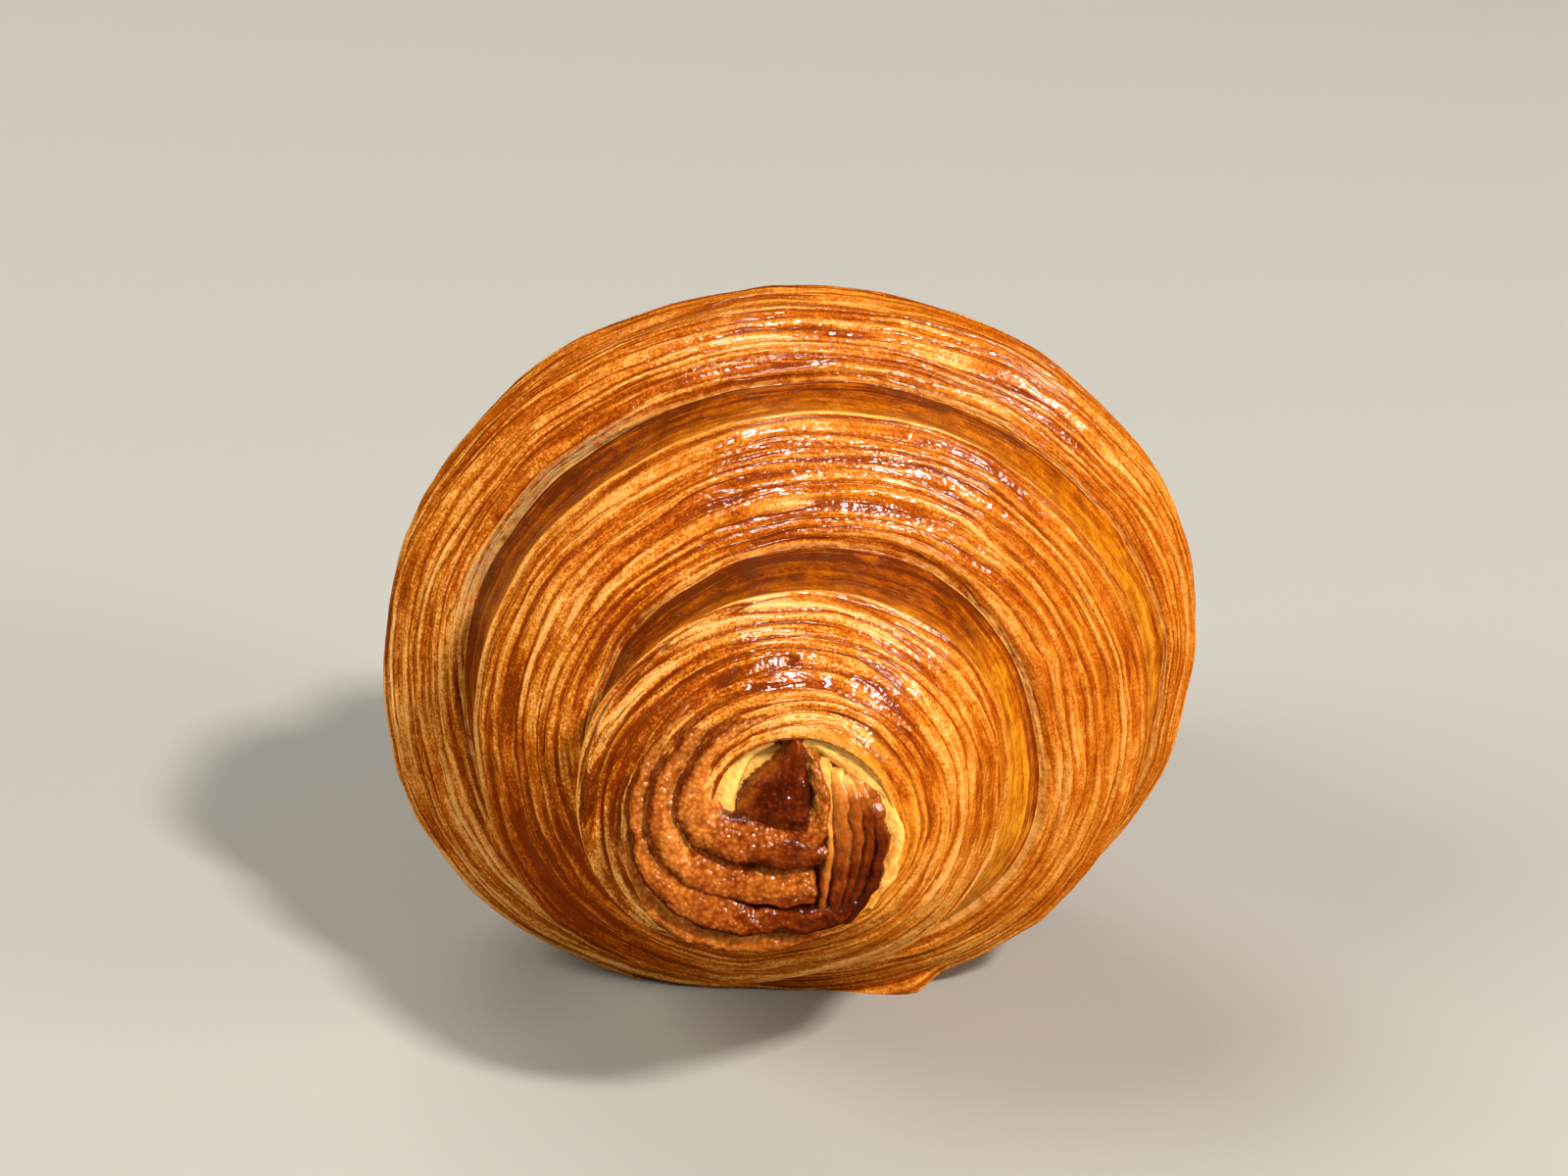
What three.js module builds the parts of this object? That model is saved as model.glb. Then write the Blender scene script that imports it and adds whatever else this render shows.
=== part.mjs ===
// A butter croissant: a triangle of layered dough rolled up from its long side.
// Millimetres, +Z up. The roll lies along Y, its horns at -Y and +Y, and rests on its flat underside.
import * as THREE from "three";
import { ParametricGeometry } from "three/addons/geometries/ParametricGeometry.js";
import { mergeGeometries, mergeVertices } from "three/addons/utils/BufferGeometryUtils.js";

// The rolled-up body
const WRAPS = 3;
const AXIS_HEIGHT = 36;
const HEIGHT_TO_WIDTH = 0.91;
const START_ANGLE = THREE.MathUtils.degToRad(-20);
const LEAN = Math.tan(THREE.MathUtils.degToRad(1.5));
const SAGGED_SIDES = 2.2;
const SAG_STARTS = 9;
const SAG_FULL = 23;
const SAG_BLEND = 0.3;
const HALF_LENGTH = 60;
const HORN_OFFSET = 0.9;

// Where a wrap's cut edge starts, on the face of the wrap below: turns, radius, reach from the middle
const CREASE = [
  [0.0, 9.5, 60],
  [0.3, 8.8, 60],
  [0.55, 10.6, 59],
  [0.8, 9.5, 59],
  [1.0, 9.5, 60],
  [1.12, 15, 53],
  [1.3, 21, 42],
  [1.55, 23.4, 33],
  [1.8, 26.8, 28],
  [2.05, 31.5, 22],
  [2.18, 35, 19.5],
  [2.3, 36, 17],
  [2.55, 36.8, 13],
  [2.8, 41.2, 7.5],
  [3.0, 44.4, 0],
  [3.3, 45.2, 0],
  [3.55, 43.6, 0],
  [3.8, 46, 0],
  [4.0, 44.4, 0],
];

// The outer corner of a wrap's cut edge: turns, radius, reach from the middle
const RIM = [
  [0.0, 9.5, 60],
  [0.12, 15.5, 56],
  [0.3, 21.6, 49.5],
  [0.55, 21.9, 45],
  [0.8, 22.4, 41],
  [1.0, 26, 36.5],
  [1.15, 31.5, 32.5],
  [1.3, 32.8, 29],
  [1.55, 35.8, 24],
  [1.8, 39.2, 18],
  [2.05, 41.3, 12.5],
  [2.3, 44.8, 7.5],
  [2.55, 43.4, 4],
  [2.8, 46, 2],
  [3.0, 44.4, 0],
];

// How the surfaces swell between those lines
const EDGE_BULGE = 1.5;
const FACE_SAG = 0.6;
const FULL_EDGE = 12;

// The open eye at each horn's end, with the rolled-in corner of the dough standing in it
const EYE_PIT = 5;
const CURL_RISE = 6;
const CURL_WIDTH = 0.45;
const CURL_DROP = 2.2;

// The baked crust
const CRUST_COLOUR = 0xc9792c;
const CRUST_ROUGHNESS = 0.4;

// Fineness of the skin
const STEPS = 64;
const EDGE_ROWS = 7;
const FACE_ROWS = 3;
const EYE_ROWS = 6;
const WELD = 1e-3;

// A smooth line through stations that never swings past them.
function smoothThrough(stations, column) {
  const at = stations.map((station) => station[0]);
  const value = stations.map((station) => station[column]);
  const slope = at.slice(1).map((end, i) => (value[i + 1] - value[i]) / (end - at[i]));
  const tangent = at.map((_, i) => {
    const before = slope[Math.max(i - 1, 0)];
    const after = slope[Math.min(i, slope.length - 1)];
    return before * after > 0 ? (2 * before * after) / (before + after) : 0;
  });
  return (turn) => {
    const next = at.findIndex((end) => end > turn);
    const i = next > 0 ? next - 1 : at.length - 2;
    const span = at[i + 1] - at[i];
    const s = THREE.MathUtils.clamp((turn - at[i]) / span, 0, 1);
    const rise = s * s * (3 - 2 * s);
    const bendIn = s * (1 - s) * (1 - s) * span * tangent[i];
    const bendOut = s * s * (1 - s) * span * tangent[i + 1];
    return value[i] + (value[i + 1] - value[i]) * rise + bendIn - bendOut;
  };
}

const creaseRadius = smoothThrough(CREASE, 1);
const creaseReach = smoothThrough(CREASE, 2);
const rimRadius = smoothThrough(RIM, 1);
const rimReach = smoothThrough(RIM, 2);

// From roll coordinates to the front half: turns run clockwise, seen from the horn's end.
function place(radius, reach, turn, target) {
  const angle = START_ANGLE + 2 * Math.PI * turn;
  const down = Math.cos(angle);
  const left = Math.sin(angle);
  const below = THREE.MathUtils.clamp(down / SAG_BLEND, 0, 1);
  const power = 2 + (SAGGED_SIDES - 2) * below;
  const square = Math.pow(Math.abs(down) ** power + Math.abs(left) ** power, -1 / power);
  const sag = THREE.MathUtils.clamp((radius - SAG_STARTS) / (SAG_FULL - SAG_STARTS), 0, 1);
  const spread = radius * (1 + (square - 1) * sag);
  const across = -spread * left;
  const height = AXIS_HEIGHT - HEIGHT_TO_WIDTH * spread * down + LEAN * across;
  target.set(across + (HORN_OFFSET * reach) / HALF_LENGTH, -reach, Math.max(height, 0));
}

// One wrap after another: the layered cut edge out to its rim, then the smooth face to the next crease.
function rolledSkin(turn, row, target) {
  const innerRadius = creaseRadius(turn);
  const innerReach = creaseReach(turn);
  const outerRadius = rimRadius(turn);
  const outerReach = rimReach(turn);
  const width = Math.hypot(outerRadius - innerRadius, outerReach - innerReach);
  const strength = Math.min(width / FULL_EDGE, 1);
  if (row <= EDGE_ROWS) {
    const s = (1 - Math.cos((Math.PI * row) / EDGE_ROWS)) / 2;
    const swell = (EDGE_BULGE * strength * (1 - (2 * s - 1) ** 4)) / Math.max(width, WELD);
    const radius = THREE.MathUtils.lerp(innerRadius, outerRadius, s) + swell * (innerReach - outerReach);
    const reach = THREE.MathUtils.lerp(innerReach, outerReach, s) + swell * (outerRadius - innerRadius);
    place(radius, reach, turn, target);
    return;
  }
  const s = (row - EDGE_ROWS) / FACE_ROWS;
  const dip = FACE_SAG * strength * Math.sin(Math.PI * s);
  const radius = THREE.MathUtils.lerp(outerRadius, creaseRadius(turn + 1), s) - dip;
  place(radius, THREE.MathUtils.lerp(outerReach, creaseReach(turn + 1), s), turn, target);
}

// The eye: from the first wrap's lip into a pit, deepest opposite the corner, and up onto the curl.
function eyeSkin(turn, inward, target) {
  const opposite = (1 - Math.cos(2 * Math.PI * turn)) / 2;
  const pit = EYE_PIT * opposite * Math.sin(Math.PI * Math.sqrt(inward));
  const curl = CURL_RISE * THREE.MathUtils.smoothstep(inward, CURL_WIDTH, 1);
  const lip = THREE.MathUtils.lerp(creaseReach(turn), HALF_LENGTH, inward);
  const reach = lip - pit + curl - EYE_PIT * inward ** 2;
  place(creaseRadius(turn) * (1 - inward), reach, turn, target);
  target.z -= CURL_DROP * inward;
}

// A skin on the front half, and the same one turned to the back half, both facing out.
function bothHalves(skin, turns, rows) {
  const front = (u, v, target) => skin(u * turns, v * rows, target);
  const back = (u, v, target) => {
    skin((1 - u) * turns, v * rows, target);
    target.y = -target.y;
  };
  return [front, back].map((half) => new ParametricGeometry(half, turns * STEPS, rows));
}

// One closed skin: shared points joined, and the triangles that shrink to nothing at the corners dropped.
function weld(pieces) {
  const joined = mergeGeometries(pieces);
  joined.deleteAttribute("normal");
  joined.deleteAttribute("uv");
  const welded = mergeVertices(joined, WELD);
  const corners = Array.from(welded.index.array);
  const kept = [];
  for (let i = 0; i < corners.length; i += 3) {
    const triangle = corners.slice(i, i + 3);
    if (new Set(triangle).size === triangle.length) {
      kept.push(...triangle);
    }
  }
  welded.setIndex(kept);
  return welded;
}

// Puts the middle of the footprint at the origin.
function centre(geometry) {
  geometry.computeBoundingBox();
  const middle = geometry.boundingBox.getCenter(new THREE.Vector3());
  geometry.translate(-middle.x, -middle.y, -geometry.boundingBox.min.z);
  geometry.computeVertexNormals();
  return geometry;
}

const eye = (turn, row, target) => eyeSkin(turn, 1 - row / EYE_ROWS, target);
const skin = weld([
  ...bothHalves(rolledSkin, WRAPS, EDGE_ROWS + FACE_ROWS),
  ...bothHalves(eye, 1, EYE_ROWS),
]);

const crust = new THREE.MeshStandardMaterial({
  color: CRUST_COLOUR,
  roughness: CRUST_ROUGHNESS,
  metalness: 0,
});
const croissant = new THREE.Mesh(centre(skin), crust);
croissant.name = "croissant";

const part = new THREE.Group();
part.add(croissant);

export default part;
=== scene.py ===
"""A butter croissant seen end-on: layered dough rolled up from a triangle, egg-washed and baked."""
import math

import bpy
import mathutils
import numpy as np
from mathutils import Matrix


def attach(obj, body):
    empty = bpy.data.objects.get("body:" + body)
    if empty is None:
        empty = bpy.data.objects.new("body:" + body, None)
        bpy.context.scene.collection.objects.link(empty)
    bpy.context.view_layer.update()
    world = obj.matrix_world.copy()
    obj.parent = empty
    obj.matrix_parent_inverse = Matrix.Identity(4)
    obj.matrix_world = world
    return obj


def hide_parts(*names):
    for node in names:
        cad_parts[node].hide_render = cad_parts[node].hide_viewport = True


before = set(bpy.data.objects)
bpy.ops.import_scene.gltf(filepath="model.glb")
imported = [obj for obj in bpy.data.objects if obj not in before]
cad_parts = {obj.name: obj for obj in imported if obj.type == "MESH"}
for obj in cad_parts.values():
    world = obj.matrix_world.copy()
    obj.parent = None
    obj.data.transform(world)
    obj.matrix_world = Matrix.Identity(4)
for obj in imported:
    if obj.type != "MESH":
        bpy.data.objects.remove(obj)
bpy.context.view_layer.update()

# Sizes are in millimetres, apart from the studio's, and MM brings them to the scene's metres.
MM = 0.001
FULL_TURN = 2 * math.pi

# The roll: three wraps to each side of the middle
WRAPS = 3
AXIS_HEIGHT = 36.0
HEIGHT_TO_WIDTH = 0.91
START_ANGLE = math.radians(-20)
LEAN = math.tan(math.radians(1.5))
SAGGED_SIDES = 2.2
SAG_STARTS = 9.0
SAG_FULL = 23.0
SAG_BLEND = 0.3
HALF_LENGTH = 60.0
HORN_OFFSET = 0.9
ROLL_SHIFT = -0.415

# No line along the roll goes past this, so it brings a line's stations into a curve's range of 0 to 1.
LONGEST = 64.0

# Where a wrap's cut edge starts, on the face of the wrap below: turns, radius, reach from the middle
CREASE = (
    (0.0, 9.5, 60), (0.12, 9.2, 58), (0.3, 8.8, 59.6), (0.55, 10.6, 59), (0.8, 9.5, 59), (1.0, 9.5, 60),
    (1.12, 15, 53), (1.3, 21, 42), (1.55, 23.4, 33), (1.65, 24.3, 30.8), (1.75, 25, 29),
    (1.85, 28.3, 26.8), (1.95, 32, 24.3), (2.05, 33.4, 22), (2.18, 35, 19.5), (2.3, 36, 17),
    (2.55, 36.8, 13), (2.7, 38.9, 10), (2.85, 43.4, 5.8), (3.0, 44.4, 0),
    (3.3, 45.2, 0), (3.55, 43.6, 0), (3.8, 46, 0), (4.0, 44.4, 0),
)

# The outer corner of a wrap's cut edge: turns, radius, reach from the middle
RIM = (
    (0.0, 9.5, 60), (0.12, 15.5, 56), (0.3, 21.6, 49.5), (0.55, 21.9, 45), (0.65, 21.8, 43.4),
    (0.8, 21.6, 41), (0.9, 23.4, 38.9), (1.0, 26, 36.5), (1.15, 31.5, 32.5), (1.3, 32.8, 29),
    (1.55, 35.8, 24), (1.7, 36.6, 20.4), (1.8, 38.8, 18), (2.05, 41.3, 12.5), (2.3, 44.8, 7.5),
    (2.55, 43.4, 4), (2.8, 46, 2), (3.0, 44.4, 0),
)

# How many sheets of dough show across the cut edge: turns, sheets
SHEETS = ((0.0, 6), (0.2, 7), (0.45, 9), (0.8, 12), (1.0, 12), (1.3, 11), (2.0, 10), (3.0, 9), (4.0, 9))

# How deep the gaps between the sheets are: turns, millimetres
SHEET_DEPTH = ((0.0, 1.1), (0.3, 1.1), (0.55, 0.8), (0.8, 0.45), (1.0, 0.4), (4.0, 0.4))

# How far the sheets stray from even spacing, in sheets, how they crowd, and how far they differ in tone
UNEVEN_SHEETS = 1.3
WANDERING_SHEETS = 0.5
SHEET_CROWDING = 0.85
OWN_RANGE = 1.8

# The lip of a sheet, as shares of the sheet's width: it rises, stays high and falls away to the next gap
LIP_RISES = (0.0, 0.22)
LIP_FALLS = (0.55, 1.0)
LIP_MIDDLE = 0.4
LIP_FADES = (0.1, 0.45)

# How far a lip stands out, as shares of the depth: all lips, one sheet more than another, tears, fine waves
LIP_HEIGHT = 0.55
OWN_HEIGHT = 0.7
TORN_HEIGHT = 0.3
FINE_HEIGHT = 0.3

# Swellings and folds
EDGE_BULGE = 1.5
BULGE_SQUARENESS = 4
FACE_SAG = 0.6
FULL_EDGE = 12.0
THINNEST_EDGE = 0.001
CREASE_DEPTH = 0.9
RIM_BEAD = 0.3
RIM_GROOVE = 0.35
WRINKLES = {"wrinkle": 0.35, "small wrinkle": 0.1}
FACE_SHEETS = 0.35
EDGE_SHARE = 0.82
PIT_DEPTH = 8.0
PIT_WALL_CURVE = 3
PIT_FLOOR_CURVE = 1.6

# Where along the roll the creases are tucked in and the rims fade out, in turns
TUCK_STARTS = (1.0, 1.25)
TUCK_ENDS = (2.8, 3.0)
RIM_FADES = (1.9, 2.3)

# Where the sheets, the groove under the rim and the rim's bead lie, as shares of a cut edge's width
SHEETS_START = (0.0, 0.05)
SHEETS_END = (0.93, 0.97)
GROOVE_STARTS = (0.9, 0.93)
GROOVE_ENDS = (0.94, 0.97)
BEAD_STARTS = (0.95, 0.985)

# The nub of dough squeezed out at the foot of the second wrap: height, place in turns and across the edge
NUB = 2.2
NUB_STARTS = (1.985, 2.005)
NUB_ENDS = (2.015, 2.05)
NUB_ACROSS = (0.6, 0.8)

# The uneven swelling of baked dough: how broad the lumps are, how high
LUMPS = ((19.0, 0.9), (7.0, 0.3))

# The rolled-up sheet is about as long as a spiral: its first radius, and half of what each turn adds to it
SPIRAL_RADIUS = 10.0
SPIRAL_HALF_GROWTH = 6.0

# Fineness of the skin
STEPS = 240
ROWS = 128
PIT_ROWS = 20
WELD = 0.004

# What the skin keeps for its material to read
KEPT = ("turn", "edge", "face", "arc", "sheet", "seed", "pit")

# Seeds of the two halves and of their curls
FRONT_SEED = 3.7
BACK_SEED = 11.2
FRONT_CURL_SEED = 2.4
BACK_CURL_SEED = 8.1

# Noise that is drawn out along a sheet or a strip of dough: its length there, how often it changes across
# it, a shift of its seed, its detail and its roughness
DRAWN_OUT = {
    "uneven": (50.0, 6.0, 0, 1.0, 0.5),
    "wander": (12.0, 7.0, 3, 2.0, 0.5),
    "own": (22.0, 5.13, 0, 1.0, 0.5),
    "crest": (6.0, 2.3, 0, 2.0, 0.5),
    "torn": (2.2, 1.1, 0, 2.0, 0.5),
    "wrinkle": (26.0, 4.0, 0, 2.0, 0.5),
    "small wrinkle": (9.0, 14.0, 0, 2.0, 0.5),
    "ragged": (1.8, 2.0, 0, 3.0, 0.7),
    "streak": (12.0, 2.0, 9, 3.0, 0.6),
    "broad": (18.0, 0.5, 5, 1.0, 0.5),
    "dimple": (1.3, 2.0, 31, 1.0, 0.5),
    "fine": (7.0, 5.0, 41, 2.0, 0.6),
    "gap": (6.0, 3.7, 20, 2.0, 0.5),
    "dash": (8.0, 2.0, 60, 4.0, 0.6),
    "lines": (14.0, 16.0, 0, 4.0, 0.7),
    "strand": (4.0, 1.4, 0, 3.0, 0.6),
}

# Noise that is alike in every direction: how often it changes in a millimetre, its detail, its roughness
ALL_ROUND = {
    "blotch": (1 / 8, 3.0, 0.6),
    "grain": (3.6, 1.0, 0.5),
    "bubble": (1.5, 1.0, 0.5),
    "face mottle": (1 / 2.5, 4.0, 0.7),
    "face grain": (3.0, 1.0, 0.5),
    "curl mottle": (1 / 1.6, 3.0, 0.6),
    "curl dimple": (0.9, 1.0, 0.5),
}

# How strongly the egg wash mirrors the light, and how strongly the smooth faces do
EGG_WASH_GLOSS = 0.3
FACE_GLOSS = 0.06

# How rough the glaze is, how much rougher where it is dry, and how rough the smooth faces are
GLAZE_ROUGHNESS = 0.16
DRY_ROUGHNESS = 0.3
FACE_ROUGHNESS = 0.15

# Where a face and the eye's pale wall take over from the cut edge, and how striped the outer faces are
FACE_STARTS = (0.0, 0.05)
PIT_STARTS = (0.0, 0.1)
OUTER_FACES_STRIPED = 0.8
PIT_CREAM = (0.90, 0.56, 0.13, 1)

# The cut edges' colours, from dark brown over orange glaze to pale dry dough: tone, colour
EDGE_COLOURS = (
    (0.0, (0.17, 0.024, 0.001, 1)),
    (0.27, (0.36, 0.072, 0.002, 1)),
    (0.45, (0.50, 0.148, 0.010, 1)),
    (0.62, (0.65, 0.265, 0.046, 1)),
    (1.0, (0.77, 0.395, 0.125, 1)),
)

# How pale the cut edges are: turns, tone that is even at EVEN_TONE, brown below it and golden above it.
# The dip at 1.22 is painted shade on the lower left, and the rises at 0.3 and 2.2 to 2.3 are painted light on
# the left side
EVEN_TONE = 20.0
EDGE_TONE_LIGHT_AND_SHADE = (
    (0.0, 19.95), (0.3, 20.02), (0.6, 19.99), (0.8, 20.0), (0.95, 20.04), (1.1, 19.98), (1.22, 19.78),
    (1.35, 20.0), (1.6, 19.98), (1.85, 20.03), (2.05, 20.02), (2.2, 20.08), (2.3, 20.08), (2.42, 19.93),
    (2.55, 19.95), (2.8, 20.04), (3.0, 20.05), (4.0, 20.05),
)

# How much each mark makes a cut edge paler, and how high it stands in millimetres
EDGE_SHARES = {
    "lip": 0.2, "own": 0.16, "broad": 0.25, "streak": 0.45, "fine": 0.45, "ragged": 0.2,
    "bubble": 0.12, "grain": 0.35,
}
EDGE_HEIGHTS = {"dimple": 0.09, "streak": 0.03, "bubble": 0.04, "ragged": 0.02, "gap": -0.1}
EDGE_AVERAGE = 0.1
EDGE_MIDDLE_TONE = 0.34
EDGE_BLOTCHES = 0.15
DRY_TONES = (0.45, 0.75)

# The contrast of the stripes: less on the side toward the key light, which is in turns past each full turn,
# more by the eye; the stronger contrast away from the key light is painted raking light and shade
EDGE_CONTRAST = 1.25
KEY_SIDE = 0.85
KEY_SIDE_CONTRAST = 0.5
BROWNER_CONTRAST = 0.5
BROWNER_FADES = (0.3, 0.9)

# The dark gaps between sheets: width as a share of a sheet's, what changes it, and how dark they show,
# which is darker away from the key light as painted shade
GAP_AND_SHADE_BROWN = (0.17, 0.024, 0.001, 1)
GAP_WIDTH = 0.04
GAP_VARIES = 0.3
GAP_BROWNER = 0.1
GAP_RAGGED = 0.06
GAP_LIMITS = (0.005, 0.18)
GAP_SHOWS = 0.75
KEY_SIDE_GAPS = 0.3

# Burnt dashes along the sheets
BURNT_BROWN = (0.09, 0.011, 0.001, 1)
DASH_BROWNER = 0.24
DASH_STARTS = (0.34, 0.5)
DASH_SHOWS = 0.7

# The golden strip round the eye: where it lies across the edge and in turns, and how it shows
EYE_GOLD = (0.62, 0.23, 0.013, 1)
EYE_ACROSS = (0.02, 0.22)
EYE_STARTS = (0.45, 0.65)
EYE_ENDS = (1.0, 1.1)
EYE_SHOWS = 0.35
EYE_STREAKS = 1.2

# The pale flaky strip along the third wrap's crease
FLAKY_CREAM = (0.36, 0.22, 0.095, 1)
FLAKY_WIDTH = 0.09
FLAKY_RAGGED = 0.06
FLAKY_BORDER = (-0.02, 0.02)
FLAKY_STARTS = (2.33, 2.38)
FLAKY_ENDS = (2.45, 2.5)
FLAKY_SHOWS = 0.55

# The creamy line where a cut edge is tucked under: pale crust, partly a painted highlight, and brighter on
# the side toward the key light
TUCKED_CREAM_AND_HIGHLIGHT = (0.72, 0.36, 0.09, 1)
TUCKED_ACROSS = (0.03, 0.045)
TUCKED_STARTS = (1.0, 1.2)
TUCKED_SHOWS = 0.1
KEY_SIDE_TUCKED = 0.4

# The shade in the groove under the rim, painted in the gaps' dark brown, and the pale rim itself, partly pale
# crust and partly a painted highlight
GROOVE_SHADE_STARTS = (0.91, 0.935)
GROOVE_SHADE_ENDS = (0.94, 0.965)
GROOVE_SHOWS = 0.5
RIM_GOLD_AND_HIGHLIGHT = (0.70, 0.32, 0.05, 1)
RIM_SHADE = (0.965, 0.98)
RIM_SHOWS = 0.4
RIM_STREAKS = 1.2
RIM_RAGGED = 0.6

# The smooth faces' colours, from golden to dark brown: tone, colour
FACE_COLOURS = (
    (0.0, (0.69, 0.274, 0.012, 1)),
    (0.2, (0.62, 0.228, 0.009, 1)),
    (0.55, (0.33, 0.074, 0.001, 1)),
    (0.85, (0.17, 0.027, 0.001, 1)),
    (1.0, (0.09, 0.013, 0.001, 1)),
)

# How brown the smooth face of the roll is: turns, share of the darkest brown; on the left side, round turns
# 0.3 and 1.15 to 1.4, it is darker as painted shade
FACE_BROWN_AND_SHADE = (
    (0.0, 0.6), (0.3, 0.85), (0.45, 1.0), (0.57, 1.0), (0.71, 0.78), (0.82, 0.36), (1.0, 0.34), (1.15, 0.45),
    (1.25, 0.65), (1.4, 0.95), (1.55, 0.75), (1.7, 0.52), (1.8, 0.4), (2.0, 0.36), (2.3, 0.5), (2.55, 0.6),
    (2.8, 0.4), (3.0, 0.3), (4.0, 0.3),
)

# How much of that brown shows at a face's rim, how much more further in, and what the tucked-in side adds;
# the face darkens towards the crease under the next wrap's lip, partly browner baking and partly painted
# shade
RIM_BROWN = 0.5
INNER_BROWN_AND_SHADE = 0.3
INNER_FACE = (0.05, 0.6)
TUCKED_FACE = (0.7, 0.95)
TUCKED_BROWN_AND_SHADE = 0.2
TUCKED_LINES = 0.8

# How much each mark makes a face browner, and how high it stands in millimetres
FACE_SHARES = {"lines": 0.55, "mottle": 0.6, "blotch": 0.3, "grain": 0.25}
FACE_HEIGHTS = {"lines": 0.06, "mottle": 0.05}
FACE_LEAST_BROWN = 0.12

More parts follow.
